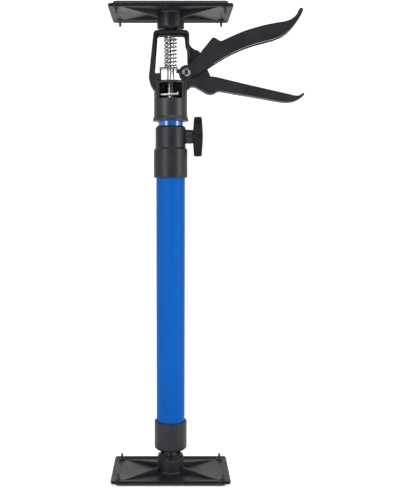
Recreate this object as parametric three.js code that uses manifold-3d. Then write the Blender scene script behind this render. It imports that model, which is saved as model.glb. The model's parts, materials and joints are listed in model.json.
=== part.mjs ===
// Telescopic support prop with two ball-jointed end plates, a clamp collar and a squeeze-lever lift head.
// Millimetres, +Z up along the pole, +X towards the two grips, origin under the centre of the foot pad.
import * as THREE from "three";
import { mergeVertices } from "three/addons/utils/BufferGeometryUtils.js";
import Module from "manifold-3d";

const wasm = await Module();
wasm.setup();

// ---------- driving dimensions ----------
const GAP = 0.3; // clearance between neighbouring pieces
const LIFT = 1.7; // heights here start on a level this far above the foot pad's underside
const TOTAL = 487; // the upper end mirrors the lower one about half of this height
const PLATE = { x: 123.5, y: 75, corner: 6, floor: 1.9, rim: 3.4, rimWide: 2.5 };
const PAD = { x: 114.7, y: 67, corner: 5, under: -LIFT, thick: 1.5 };
const STUD = { x: 54, y: 30.2, r: 1.9, tipR: 1.25, top: 10.3 };
const RIB = { x: 48, y: 29.5, high: 7.4, low: 2.6, wide: 2 };
const HUB = { r: 14, top: 18.5, bore: 11.6 };
const BALL = { r: 9, z: 14.1, neck: 6 };
const TUBE = { r: 15, wall: 1.2, bottom: 29.3, top: 345 };
const INNER = { r: 13.3, wall: 1.2, bottom: 66, top: 393.8 };
const CAP = { r: 17.5, bottom: 27, top: 57.6 };
const COLLAR = { r: 17.5, bottom: 315.2, step: 345.4, neckR: 15.45, top: 368.5 };
const BOSS = { r: 7.3, z: 357.8, out: 23 };
const NUT = { flats: 8, from: 16.6, to: 21.4 };
const SCREW = { r: 2.5, from: 15.4, to: 29.5 };
const KNOB = { from: 23.4, to: 33.3, half: 20.5, thick: 8 };
const HEAD = {
  socketR: 17.2,
  lipR: 18.8,
  bottom: 373.6,
  lipTop: 378.4,
  shoulder: 414.4,
  top: 465.5,
  deep: 9.5,
  recess: 3.6,
};
const ROD = { flats: 7, bottom: 214, shoulder: 460.6, pin: 3.1, top: 467.4, bore: 4.4 };
const PIVOT = { x: 16, z: 423.1, r: 3.1 };
const LEVER = { cheekIn: 4.3, cheekOut: 7.2, eyeR: 7.4, slotEnd: 45.5, nearWall: 3.6, farWall: 2 };
const WINDOW = { top: 459.8, ledge: 421.8, floor: 414.4, left: -9.8, right: 10.3 };
const POST = { left: -11.3, top: 426.3 };
const DRIVE = { left: -11.6, right: 7.4, halfWide: 7.2, under: 426.7, thick: 1.5 };
const TOE = { from: 5.8, to: 12, bottom: 423.9 };
const SPRING = { r: 6, wire: 0.75, from: 429.3, to: 458.7, turns: 8.5 };
const LOCK = {
  left: -11,
  right: 8.6,
  z: 400.8,
  thick: 1.7,
  tilt: 2,
  floor: 396.2,
  roof: 411.9,
  halfWide: 11.6,
};
const LOCK_SPRING = { r: 4.9, wire: 0.5, from: 403.2, to: 411.1, turns: 4.2 };

// ---------- materials ----------
const mat = (color, metalness, roughness) => new THREE.MeshStandardMaterial({ color, metalness, roughness });
const BLUE = mat(0x1a68c4, 0.3, 0.35);
const BLACK = mat(0x2c2c30, 0, 0.5);
const RUBBER = mat(0x1c1c1e, 0, 0.85);
const ZINC = mat(0xd6d8da, 1, 0.25);
const STEEL = mat(0xa8abb0, 1, 0.35);

// ---------- solids ----------
const solid = (geometry) => {
  const bare = geometry.clone();
  bare.deleteAttribute("normal");
  bare.deleteAttribute("uv");
  const merged = mergeVertices(bare, 1e-4);
  return new wasm.Manifold(
    new wasm.Mesh({
      numProp: 3,
      vertProperties: merged.attributes.position.array,
      triVerts: new Uint32Array(merged.index.array),
    }),
  );
};

const group = new THREE.Group();
const put = (name, body, material) => {
  const data = body.translate([0, 0, LIFT]).getMesh();
  const geometry = new THREE.BufferGeometry();
  geometry.setAttribute("position", new THREE.Float32BufferAttribute(data.vertProperties, 3));
  geometry.setIndex(new THREE.Uint32BufferAttribute(data.triVerts, 1));
  const flat = geometry.toNonIndexed();
  flat.computeVertexNormals();
  const mesh = new THREE.Mesh(flat, material);
  mesh.name = name;
  group.add(mesh);
};

const box = (x0, x1, y0, y1, z0, z1) =>
  solid(
    new THREE.BoxGeometry(x1 - x0, y1 - y0, z1 - z0)
      .translate((x0 + x1) / 2, (y0 + y1) / 2, (z0 + z1) / 2),
  );

// A body of revolution about Z through (x, y); points are [radius, z] from the axis, bottom to top.
const turned = (points, sides = 40) => {
  const profile = points.map(([r, z]) => new THREE.Vector2(r, z));
  return solid(new THREE.LatheGeometry(profile, sides).rotateX(Math.PI / 2));
};

const drum = (r, z0, z1, sides = 40) => turned([[0, z0], [r, z0], [r, z1], [0, z1]], sides);
const cone = (r0, r1, z0, z1, sides = 24) => turned([[0, z0], [r0, z0], [r1, z1], [0, z1]], sides);
const pipe = (rOut, rIn, z0, z1, sides = 48) =>
  drum(rOut, z0, z1, sides).subtract(drum(rIn, z0 - 1, z1 + 1, sides));

const ball = (r, z) => {
  const points = [];
  for (let i = 0; i <= 16; i++) {
    const a = -Math.PI / 2 + (Math.PI * i) / 16;
    points.push([i === 0 || i === 16 ? 0 : r * Math.cos(a), z + r * Math.sin(a)]);
  }
  return turned(points, 36);
};

const roundedRect = (x, y, r) => {
  const shape = new THREE.Shape();
  shape.moveTo(-x / 2 + r, -y / 2);
  shape.lineTo(x / 2 - r, -y / 2);
  shape.absarc(x / 2 - r, -y / 2 + r, r, -Math.PI / 2, 0);
  shape.lineTo(x / 2, y / 2 - r);
  shape.absarc(x / 2 - r, y / 2 - r, r, 0, Math.PI / 2);
  shape.lineTo(-x / 2 + r, y / 2);
  shape.absarc(-x / 2 + r, y / 2 - r, r, Math.PI / 2, Math.PI);
  shape.lineTo(-x / 2, -y / 2 + r);
  shape.absarc(-x / 2 + r, -y / 2 + r, r, Math.PI, Math.PI * 1.5);
  return shape;
};
const slab = (x, y, corner, z0, z1) =>
  solid(
    new THREE.ExtrudeGeometry(roundedRect(x, y, corner), {
      depth: z1 - z0,
      bevelEnabled: false,
      curveSegments: 6,
    })
      .translate(0, 0, z0),
  );

// A side-view outline in X and Z, given through its corner points, as a plate between two Y planes.
// The outline runs anticlockwise with X to the right and Z up; the bevel softens both of its edges.
const blade = (points, y0, y1, bevel = 0) => {
  const shape = new THREE.Shape(points.map(([x, z]) => new THREE.Vector2(x, z)));
  const geometry = new THREE.ExtrudeGeometry(shape, {
    depth: y1 - y0 - 2 * bevel,
    bevelEnabled: bevel > 0,
    bevelSize: bevel,
    bevelOffset: -bevel,
    bevelThickness: bevel,
    bevelSegments: 2,
    curveSegments: 8,
  });
  return solid(geometry.translate(0, 0, -y1 + bevel).rotateX(Math.PI / 2));
};
const alongY = (x, z, r, y0, y1, sides = 32) =>
  drum(r, y0, y1, sides).rotate([-90, 0, 0]).translate([x, 0, z]);
const alongX = (y, z, r, x0, x1, sides = 32) =>
  drum(r, x0, x1, sides).rotate([0, 90, 0]).translate([0, y, z]);

const hexagon = (flats, z0, z1, phase = 0) =>
  drum(flats / 2 / Math.cos(Math.PI / 6), z0, z1, 6).rotate([0, 0, phase]);

const hexAlongX = (flats, x0, x1) => hexagon(flats, x0, x1).rotate([0, 90, 0]).translate([0, 0, BOSS.z]);

const coil = (r, wire, z0, z1, turns) => {
  class Helix extends THREE.Curve {
    getPoint(t, target = new THREE.Vector3()) {
      const a = 2 * Math.PI * turns * t;
      return target.set(r * Math.cos(a), r * Math.sin(a), z0 + (z1 - z0) * t);
    }
  }
  const section = new THREE.Shape();
  section.absarc(0, 0, wire, 0, Math.PI * 2);
  return solid(
    new THREE.ExtrudeGeometry(section, {
      steps: Math.round(turns * 14),
      curveSegments: 3,
      extrudePath: new Helix(),
    }),
  );
};

// ---------- end plates: the same moulding at both ends ----------
const plate = () => {
  const under = PAD.thick;
  const wall = under + PLATE.rim;
  let body = slab(PLATE.x, PLATE.y, PLATE.corner, under, wall);
  body = body.subtract(
    slab(
      PLATE.x - 2 * PLATE.rimWide,
      PLATE.y - 2 * PLATE.rimWide,
      PLATE.corner - 2,
      under + PLATE.floor + 0.7,
      9,
    ),
  );
  body = body.subtract(
    slab(PLATE.x - 4 * PLATE.rimWide, PLATE.y - 4 * PLATE.rimWide, PLATE.corner - 3, under + PLATE.floor, 9),
  );
  const length = Math.hypot(RIB.x, RIB.y);
  const turn = (Math.atan2(RIB.y, RIB.x) * 180) / Math.PI;
  const fin = [
    [9, under + 0.5],
    [length, under + 0.5],
    [length, under + RIB.low],
    [9, under + RIB.high],
  ];
  for (const angle of [turn, 180 - turn, 180 + turn, -turn]) {
    body = body.add(blade(fin, -RIB.wide / 2, RIB.wide / 2).rotate([0, 0, angle]));
  }
  body = body.add(
    turned([
      [0, under],
      [HUB.r + 1, under],
      [HUB.r + 1, 5.2],
      [HUB.r, 6.2],
      [HUB.r, HUB.top],
      [0, HUB.top],
    ]),
  );
  body = body.add(box(-7.5, 7.5, -27.4, -20.6, under + 0.5, under + PLATE.floor + 0.7));
  body = body.subtract(drum(HUB.bore, 3.4, 30, 40));
  for (const x of [-STUD.x, STUD.x]) {
    for (const y of [-STUD.y, STUD.y]) {
      body = body.add(drum(STUD.r + 1.9, under, under + PLATE.floor + 1.1, 20).translate([x, y, 0]));
      body = body.subtract(drum(STUD.r + GAP, -1, 12, 20).translate([x, y, 0]));
    }
  }
  return body;
};
// The pad's four stems come up through the plate corners and hold it by their tips.
const pad = () => {
  let body = slab(PAD.x, PAD.y, PAD.corner, PAD.under, PAD.thick - 0.05);
  for (const x of [-STUD.x, STUD.x]) {
    for (const y of [-STUD.y, STUD.y]) {
      const stem = turned(
        [
          [0, 0.4],
          [STUD.r, 0.4],
          [STUD.r, 5.6],
          [STUD.tipR + 0.3, 6.8],
          [STUD.tipR, STUD.top],
          [0, STUD.top],
        ],
        16,
      );
      body = body.add(stem.translate([x, y, 0]));
    }
  }
  return body;
};
// Split ring with six fingers that snaps over the ball.
const socketRing = () => {
  let body = turned([[0, 3.7], [HUB.bore - GAP, 3.7], [HUB.bore - GAP, HUB.top - 0.9], [0, HUB.top - 0.9]]);
  body = body.subtract(ball(BALL.r + GAP, BALL.z));
  for (let i = 0; i < 3; i++) {
    body = body.subtract(box(-13, 13, -0.8, 0.8, 9.5, 22).rotate([0, 0, 30 + 60 * i]));
  }
  return body;
};
const upsideDown = (body) => body.rotate([180, 0, 0]).translate([0, 0, TOTAL]);

put("base_plate", plate(), BLACK);
put("base_pad", pad(), RUBBER);
put("base_socket_ring", socketRing(), BLACK);
put("top_plate", upsideDown(plate()), BLACK);
put("top_pad", upsideDown(pad()), RUBBER);
put("top_socket_ring", upsideDown(socketRing()), BLACK);

// ---------- foot ----------
const footBall = () => {
  let body = ball(BALL.r, BALL.z);
  body = body.subtract(box(-12, 12, -12, 12, 0, BALL.z - 7.6));
  return body.add(drum(BALL.neck, BALL.z + 4, 42, 32));
};
put("base_ball", footBall(), BLACK);

const footCap = () => {
  let body = turned([
    [0, CAP.bottom],
    [12.6, CAP.bottom],
    [15.4, CAP.bottom + 0.9],
    [16.7, CAP.bottom + 2.6],
    [CAP.r, CAP.bottom + 5],
    [CAP.r, CAP.top - 3.2],
    [CAP.r - 0.5, CAP.top - 1],
    [CAP.r - 1.6, CAP.top],
    [0, CAP.top],
  ]);
  const socket = pipe(TUBE.r + GAP / 2, TUBE.r - TUBE.wall - GAP, TUBE.bottom - GAP, CAP.top + 1);
  body = body.subtract(socket);
  body = body.subtract(drum(TUBE.r - TUBE.wall, 44, CAP.top + 1));
  return body.subtract(drum(BALL.neck + GAP, CAP.bottom - 1, 42 + GAP, 32));
};
put("foot_cap", footCap(), BLACK);

// ---------- pole ----------
put("outer_tube", pipe(TUBE.r, TUBE.r - TUBE.wall, TUBE.bottom, TUBE.top, 64), BLUE);
put("inner_tube", pipe(INNER.r, INNER.r - INNER.wall, INNER.bottom, INNER.top, 64), BLUE);
// A plug with a flange that keeps the inner tube central in the outer one.
const guideBush = () =>
  turned([
    [0, 60.4],
    [TUBE.r - TUBE.wall - GAP / 2, 60.4],
    [TUBE.r - TUBE.wall - GAP / 2, INNER.bottom - GAP / 2],
    [INNER.r - INNER.wall - GAP / 2, INNER.bottom - GAP / 2],
    [INNER.r - INNER.wall - GAP / 2, 80],
    [0, 80],
  ]).subtract(drum(6, 50, 90, 24));
put("inner_tube_guide", guideBush(), BLACK);

// ---------- clamp collar ----------
const collar = () => {
  let body = turned([
    [0, COLLAR.bottom],
    [COLLAR.r - 0.9, COLLAR.bottom],
    [COLLAR.r, COLLAR.bottom + 1.4],
    [COLLAR.r, COLLAR.step - 1.6],
    [COLLAR.r - 0.9, COLLAR.step],
    [COLLAR.neckR, COLLAR.step],
    [COLLAR.neckR, COLLAR.top - 1.2],
    [COLLAR.neckR - 0.7, COLLAR.top],
    [0, COLLAR.top],
  ]);
  body = body.add(alongX(0, BOSS.z, BOSS.r, 6, BOSS.out - 1, 36));
  body = body.add(alongX(0, BOSS.z, BOSS.r - 0.9, 6, BOSS.out, 36));
  body = body.subtract(drum(TUBE.r + GAP / 2, COLLAR.bottom - 1, TUBE.top + GAP, 48));
  body = body.subtract(drum(INNER.r + GAP, TUBE.top - 1, COLLAR.top + 1, 48));
  // Hexagonal pocket for the nut, reached from the bore, and the clearance hole of the screw.
  body = body.subtract(hexAlongX(NUT.flats + 0.5, 11, NUT.to + GAP));
  return body.subtract(alongX(0, BOSS.z, SCREW.r + GAP, 20, BOSS.out + 1, 24));
};
put("clamp_collar", collar(), BLACK);
put(
  "clamp_nut",
  hexAlongX(NUT.flats, NUT.from, NUT.to).subtract(alongX(0, BOSS.z, SCREW.r + GAP, 10, 30, 24)),
  ZINC,
);
put("clamp_screw", alongX(0, BOSS.z, SCREW.r, SCREW.from, SCREW.to, 24), STEEL);
put("clamp_pressure_pad", alongX(0, BOSS.z, 3.9, INNER.r + 0.25, SCREW.from - GAP, 24), BLACK);

// Wing knob: a hub with two tapering wings and a thumb hollow on each side.
const knob = () => {
  const z = BOSS.z;
  let body = alongX(0, z, 9.3, KNOB.from, KNOB.to - 1.2, 36);
  body = body.add(alongX(0, z, 8.2, KNOB.from, KNOB.to, 36));
  for (const s of [1, -1]) {
    const wing = [
      [KNOB.from + 0.4, z - 2 * s],
      [KNOB.from + 1.0, z + 13 * s],
      [KNOB.from + 1.9, z + (KNOB.half - 1.2) * s],
      [KNOB.from + 3.2, z + KNOB.half * s],
      [KNOB.to - 2.6, z + KNOB.half * s],
      [KNOB.to - 1.0, z + (KNOB.half - 1.6) * s],
      [KNOB.to - 0.6, z + 12 * s],
      [KNOB.to - 0.2, z - 2 * s],
    ];
    body = body.add(blade(s > 0 ? wing.reverse() : wing, -KNOB.thick / 2, KNOB.thick / 2, 0.9));
  }
  return body.subtract(alongX(0, z, SCREW.r + GAP, KNOB.from - 1, SCREW.to + GAP, 24));
};
put("clamp_knob", knob(), BLACK);

// ---------- lift head ----------
const housing = () => {
  const d = HEAD.deep;
  let body = turned([
    [0, HEAD.bottom],
    [HEAD.lipR - 0.7, HEAD.bottom],
    [HEAD.lipR, HEAD.bottom + 0.8],
    [HEAD.lipR, HEAD.lipTop - 0.6],
    [HEAD.socketR, HEAD.lipTop + 0.2],
    [HEAD.socketR, HEAD.shoulder - 1],
    [HEAD.socketR - 1, HEAD.shoulder],
    [0, HEAD.shoulder],
  ]);
  const frame = [
    [-15.6, 402],
    [15.6, 402],
    [19.1, 417],
    [19.1, 460.6],
    [18.4, 463.2],
    [16.6, 464.9],
    [14.4, HEAD.top],
    [-13.4, HEAD.top],
    [-15.6, 464.9],
    [-17.1, 463.2],
    [-17.9, 460.6],
    [-22.5, 417.6],
    [-21.4, 412.8],
    [-17.6, 406.4],
  ];
  body = body.add(blade(frame, -d, d, 0.9));
  // Web that carries the pivot, narrow enough for the lever cheeks to straddle it.
  const web = [
    [15, 412],
    [42, 412],
    [41.4, 419],
    [37.8, 426.6],
    [36.9, 436],
    [31, 441.6],
    [26, 445.2],
    [22.4, 446.4],
    [20.4, 448.2],
    [19.1, 451.6],
    [15, 452],
  ];
  body = body.add(blade(web, -4, 4, 0.6));
  // Fixed grip: full width from the sleeve to the hooked tip.
  const grip = [
    [14, 405.4],
    [17.6, 405.6],
    [19.4, 408],
    [22.4, 409.4],
    [26, 408.4],
    [32, 404.9],
    [36.6, 402.3],
    [40.8, 401.1],
    [44.8, 401.9],
    [50.5, 404.3],
    [82, 399.1],
    [112.7, 393.7],
    [118.5, 393],
    [124, 393.2],
    [129, 394.3],
    [133.6, 396.6],
    [137.7, 400.2],
    [137.3, 402.4],
    [134.4, 401.1],
    [131.6, 399.5],
    [127.6, 399.6],
    [84, 409.6],
    [47, 418.4],
    [40, 418.8],
    [30, 416.8],
    [14, 416.8],
  ];
  body = body.add(blade(grip, -7.2, 7.2, 1.2));
  // The open spring window. A post at its left carries the still end of the drive plate.
  const window = [
    [WINDOW.left, WINDOW.floor],
    [WINDOW.right, WINDOW.floor],
    [WINDOW.right, 429],
    [15.2, 435.5],
    [15.4, 447.5],
    [14.3, WINDOW.top],
    [-13.4, WINDOW.top],
    [-16.3, WINDOW.ledge],
    [POST.left, WINDOW.ledge],
    [POST.left, POST.top],
    [WINDOW.left, POST.top],
  ];
  body = body.subtract(blade(window, -20, 20));
  // A step round the window leaves a raised outer frame on the front and the back.
  const step = [
    [-14, 425],
    [13, 437],
    [17.2, 437],
    [17.2, 449],
    [16.4, 462],
    [-15.2, 462],
    [-18.9, 425],
  ];
  body = body.subtract(blade(step, -20, HEAD.recess - d));
  body = body.subtract(blade(step, d - HEAD.recess, 20));
  // The lock window opens to the front only.
  body = body.subtract(box(-LOCK.halfWide, LOCK.halfWide, -20, d - 1.8, LOCK.floor, LOCK.roof));
  body = body.subtract(drum(INNER.r + GAP / 2, HEAD.bottom - 1, INNER.top + GAP, 48));
  body = body.subtract(drum(ROD.bore, 390, 420, 28));
  // Room on both sides of the web for the lever cheeks and their round ends.
  for (const s of [1, -1]) {
    const [y0, y1] = s > 0 ? [4, 20] : [-20, -4];
    const sweep = [
      [8, WINDOW.floor],
      [44, WINDOW.floor],
      [44, 462],
      [29, 447],
      [19.6, 437],
      [15.2, 434],
      [8, 434],
    ];
    body = body.subtract(blade(sweep, y0, y1));
  }
  body = body.subtract(alongY(PIVOT.x, PIVOT.z, PIVOT.r + GAP, -20, 20, 24));
  return body.subtract(cone(5.5, 7.4, 455, HEAD.top + 0.1, 32)).subtract(drum(5.6, 455, 470, 32));
};
put("head_housing", housing(), BLACK);

// ---------- squeeze lever ----------
const lever = () => {
  const shape = [
    [19.6, 419],
    [24, 420],
    [37.3, 426.7],
    [58.4, 439.8],
    [84.2, 450.9],
    [107.3, 457.2],
    [117.5, 462],
    [125.6, 469.6],
    [131.4, 477.6],
    [134.9, 484.4],
    [135.4, 487.8],
    [132, 488.1],
    [129, 482.1],
    [124.7, 477.9],
    [118, 475],
    [96.4, 471],
    [72, 463.7],
    [58, 457.8],
    [50.9, 455],
    [46.2, 457.4],
    [43.4, 459.3],
    [40.6, 458],
    [29.9, 443.8],
    [18, 432.2],
    [12.6, 428.4],
  ];
  let body = blade(shape, -LEVER.cheekOut, LEVER.cheekOut, 1.2);
  body = body.add(alongY(PIVOT.x, PIVOT.z, LEVER.eyeR, -LEVER.cheekOut, LEVER.cheekOut, 36));
  // The toes reach under the drive plate on both sides of the rod.
  const toe = LEVER.cheekOut - 0.1;
  body = body.add(box(TOE.from, TOE.to, -toe, toe, TOE.bottom, DRIVE.under - 0.4));
  body = body.subtract(box(0, LEVER.slotEnd, -LEVER.cheekIn, LEVER.cheekIn, 400, 470));
  // Behind the cheeks the lever is a channel, open below.
  const hollow = [
    [46, 424],
    [60, 433],
    [86, 444],
    [110, 450],
    [124, 459],
    [129.5, 468],
    [129.6, 474.8],
    [126.2, 475.4],
    [118, 471.4],
    [96.4, 467.6],
    [72, 460.3],
    [58.5, 454.6],
    [51, 451.6],
    [46, 453.6],
  ];
  body = body.subtract(blade(hollow, LEVER.nearWall - LEVER.cheekOut, LEVER.cheekOut - LEVER.farWall));
  // The web between the cheeks closes again above the housing.
  body = body.add(blade([[30.5, 444], [46, 440], [46, 457], [43.4, 459], [40.6, 457.6]], -5, 5));
  return body.subtract(alongY(PIVOT.x, PIVOT.z, PIVOT.r + GAP, -20, 20, 24));
};
put("trigger_lever", lever(), BLACK);
put(
  "trigger_rivet",
  alongY(PIVOT.x, PIVOT.z, PIVOT.r, -8.6, 8.6, 24)
    .add(alongY(PIVOT.x, PIVOT.z, 4.4, -8.8, -7.5, 28))
    .add(alongY(PIVOT.x, PIVOT.z, 4.4, 7.5, 8.8, 28)),
  STEEL,
);

// ---------- lift rod and its drive ----------
// The rod ends in a round pin, on which the ball stud turns.
put(
  "hex_rod",
  hexagon(ROD.flats, ROD.bottom, ROD.shoulder, 90).add(drum(ROD.pin, ROD.shoulder - 1, ROD.top, 32)),
  STEEL,
);
put(
  "rod_stop",
  turned(
    [
      [0, ROD.bottom],
      [10.2, ROD.bottom],
      [11, ROD.bottom + 1],
      [11, ROD.bottom + 5],
      [0, ROD.bottom + 6],
    ],
    28,
  ).subtract(hexagon(ROD.flats + 2 * GAP, 200, 230, 90)),
  BLACK,
);

// A steel plate that rides on the rod: the lever's toes push it up, and the drive spring pushes it down.
const drivePlate = () =>
  box(DRIVE.left, DRIVE.right, -DRIVE.halfWide, DRIVE.halfWide, DRIVE.under, DRIVE.under + DRIVE.thick)
    .subtract(hexagon(ROD.flats + 2 * GAP, 400, 440, 90));
put("drive_plate", drivePlate(), ZINC);
put("drive_spring", coil(SPRING.r, SPRING.wire, SPRING.from, SPRING.to, SPRING.turns), ZINC);

const lockPlate = () =>
  box(LOCK.left, LOCK.right, -7.4, 6.6, -LOCK.thick / 2, LOCK.thick / 2)
    .subtract(drum(4.6, -5, 5, 28))
    .rotate([0, -LOCK.tilt, 0])
    .translate([0, 0, LOCK.z]);
put("lock_plate", lockPlate(), ZINC);
put(
  "lock_spring",
  coil(LOCK_SPRING.r, LOCK_SPRING.wire, LOCK_SPRING.from, LOCK_SPRING.to, LOCK_SPRING.turns),
  ZINC,
);

// ---------- top ball ----------
const topStud = () => {
  const z = TOTAL - BALL.z;
  let body = ball(BALL.r, z).subtract(box(-12, 12, -12, 12, z + 7.6, TOTAL));
  body = body.add(drum(5, WINDOW.top + 1.2, z - 4, 32));
  return body.subtract(drum(ROD.pin + GAP, 440, ROD.top + GAP, 32));
};
put("top_ball_stud", topStud(), BLACK);

export default group;
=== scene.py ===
import json
import math

import bmesh
import bpy
from mathutils import Matrix, Vector
from mathutils.geometry import tessellate_polygon


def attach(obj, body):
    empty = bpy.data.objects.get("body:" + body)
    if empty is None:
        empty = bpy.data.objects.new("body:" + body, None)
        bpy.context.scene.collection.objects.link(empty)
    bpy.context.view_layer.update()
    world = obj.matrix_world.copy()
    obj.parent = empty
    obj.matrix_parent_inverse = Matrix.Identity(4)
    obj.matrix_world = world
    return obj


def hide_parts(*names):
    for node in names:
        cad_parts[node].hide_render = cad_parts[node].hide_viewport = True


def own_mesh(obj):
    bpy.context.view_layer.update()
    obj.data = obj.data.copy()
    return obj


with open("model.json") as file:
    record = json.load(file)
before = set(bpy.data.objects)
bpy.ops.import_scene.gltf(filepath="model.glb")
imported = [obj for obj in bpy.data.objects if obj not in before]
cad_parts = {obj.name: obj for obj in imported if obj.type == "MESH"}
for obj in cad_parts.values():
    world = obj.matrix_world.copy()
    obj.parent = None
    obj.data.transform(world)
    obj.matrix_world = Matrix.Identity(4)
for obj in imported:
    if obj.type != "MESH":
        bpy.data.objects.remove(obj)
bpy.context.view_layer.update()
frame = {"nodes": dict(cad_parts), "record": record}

MM = 0.001

# Driving sizes, in millimetres.
LIFT = 1.7  # heights in this file start on a level this far above the floor
TOTAL = 487.0  # the upper end mirrors the lower one about half of this height
BALL_Z, BALL_R = 14.1, 9.0  # the foot's ball
PLATE_X, PLATE_Y = 61.75, 37.5  # half the length and half the width of an end plate
STEM_X, STEM_Y = 54, 30.2  # the pad's stems stand through the plate at these places
OUTER_R, INNER_R, WALL = 15.0, 13.3, 1.2  # the two tubes and their walls
SLEEVE_TOP = 414.4  # the head's round sleeve ends here
ARCH_HALF, INNER_HALF = 9.5, 5.9  # half the depth of the arch and of the thin frame inside its window
GRIP_HALF = 7.2  # half the thickness of the squeeze lever and the fixed grip
WEB_HALF, CHEEK_GAP_HALF = 4.0, 4.3  # the web behind the rivet runs between the lever's cheeks
PIVOT_X, PIVOT_Z = 16.0, 423.1  # the lever's rivet
EYE_R = 7.4  # the lever is round about its rivet
KNOB_Z = 357.8  # the clamp knob's axis
ROD_FLATS = 7  # the hexagonal rod, across its flats
ROD_TOP = 460.6
DRIVE_UNDER, DRIVE_TOP = 426.7, 428.2  # the drive plate's two faces
LOCK_Z, LOCK_THICK = 400.8, 1.7  # the lock plate
ROUND = 128  # sides of the large round pieces

BODY_OF = {node: body for body, nodes in frame["record"]["behaviour"]["bodies"].items() for node in nodes}


# ---------------------------------------------------------------- shape helpers
# A shape is a pair of lists: points in millimetres, and faces as tuples of indices.
def merged(*shapes):
    points, faces = [], []
    for p, f in shapes:
        base = len(points)
        points += list(p)
        faces += [tuple(i + base for i in face) for face in f]
    return points, faces


def moved(shape, matrix):
    return [tuple(matrix @ Vector(p)) for p in shape[0]], list(shape[1])


def turned_z(shape, degrees):
    return moved(shape, Matrix.Rotation(math.radians(degrees), 4, "Z"))


def placed(shape, x, y):
    return moved(shape, Matrix.Translation((x, y, 0)))


def upside_down(shape):
    return moved(shape, Matrix.Translation((0, 0, TOTAL)) @ Matrix.Rotation(math.pi, 4, "X"))


def along_x(shape, z):
    """A shape turned about Z is laid along X at height z, its own Z becoming X."""
    return moved(shape, Matrix.Translation((0, 0, z)) @ Matrix.Rotation(math.radians(90), 4, "Y"))


def along_y(shape, x, z):
    """A shape turned about Z is laid along Y through (x, z), its own Z becoming -Y."""
    return moved(shape, Matrix.Translation((x, 0, z)) @ Matrix.Rotation(math.radians(90), 4, "X"))


def rounded(points, radius=0.0, steps=5):
    """A closed outline whose corners become arcs. A point may carry its own radius as a third number."""
    out = []
    n = len(points)
    for i, point in enumerate(points):
        here = Vector(point[:2])
        before = Vector(points[i - 1][:2])
        after = Vector(points[(i + 1) % n][:2])
        r = point[2] if len(point) > 2 else radius
        a, b = before - here, after - here
        la, lb = a.length, b.length
        if r <= 0 or la < 1e-6 or lb < 1e-6:
            out.append(tuple(here))
            continue
        a, b = a / la, b / lb
        angle = a.angle(b)
        if angle > math.radians(176):
            out.append(tuple(here))
            continue
        reach = min(r / math.tan(angle / 2), 0.48 * la, 0.48 * lb)
        r = reach * math.tan(angle / 2)
        centre = here + (a + b).normalized() * (r / math.sin(angle / 2))
        first = here + a * reach - centre
        last = here + b * reach - centre
        span = first.angle_signed(last)
        count = max(2, min(steps * 2, int(abs(span) / math.radians(9)) + 1))
        for k in range(count + 1):
            turn = Matrix.Rotation(-span * k / count, 2)
            out.append(tuple(centre + turn @ first))
    return out


def smooth_line(points, per):
    """An open Catmull-Rom line through the points, with that many steps between two of them."""
    p = [Vector(q) for q in points]
    p = [2 * p[0] - p[1], *p, 2 * p[-1] - p[-2]]
    out = []
    for i in range(1, len(p) - 2):
        for k in range(per):
            t = k / per
            out.append(tuple(0.5 * (
                2 * p[i]
                + (p[i + 1] - p[i - 1]) * t
                + (2 * p[i - 1] - 5 * p[i] + 4 * p[i + 1] - p[i + 2]) * t * t
                + (3 * p[i] - p[i - 1] - 3 * p[i + 1] + p[i + 2]) * t * t * t)))
    return [*out, tuple(p[-2])]


def area_of(outline):
    return sum(a[0] * b[1] - b[0] * a[1] for a, b in zip(outline, outline[1:] + outline[:1])) / 2


def inset(outline, distance):
    """The outline moved inwards by that distance; it runs anticlockwise."""
    n = len(outline)
    out = []
    for i in range(n):
        here = Vector(outline[i])
        e1 = here - Vector(outline[i - 1])
        e2 = Vector(outline[(i + 1) % n]) - here
        if e1.length < 1e-7 or e2.length < 1e-7:
            n1 = n2 = Vector((-(e1 + e2).y, (e1 + e2).x)).normalized()
        else:
            n1 = Vector((-e1.y, e1.x)).normalized()
            n2 = Vector((-e2.y, e2.x)).normalized()
        both = n1 + n2
        scale = 1 / max(0.35, 1 + n1.dot(n2))
        out.append(tuple(here + both * scale * distance))
    return out


def clean(outline):
    """The outline without doubled points, running anticlockwise."""
    gap = 1e-3
    kept = []
    for p in outline:
        if not kept or (Vector(p) - Vector(kept[-1])).length > gap:
            kept.append(p)
    if (Vector(kept[0]) - Vector(kept[-1])).length <= gap:
        kept.pop()
    return kept if area_of(kept) > 0 else kept[::-1]


def edge_layers(radius, low, high):
    """Layers (inset, height) of a slab between two heights whose edges are rounded."""
    steps = 4
    if radius <= 0:
        return [(0, low), (0, high)]
    turn = [math.pi / 2 * k / steps for k in range(steps + 1)]
    under = [(radius * (1 - math.sin(t)), low + radius * (1 - math.cos(t))) for t in turn]
    return under + [(d, high - (z - low)) for d, z in reversed(under)]


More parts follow.
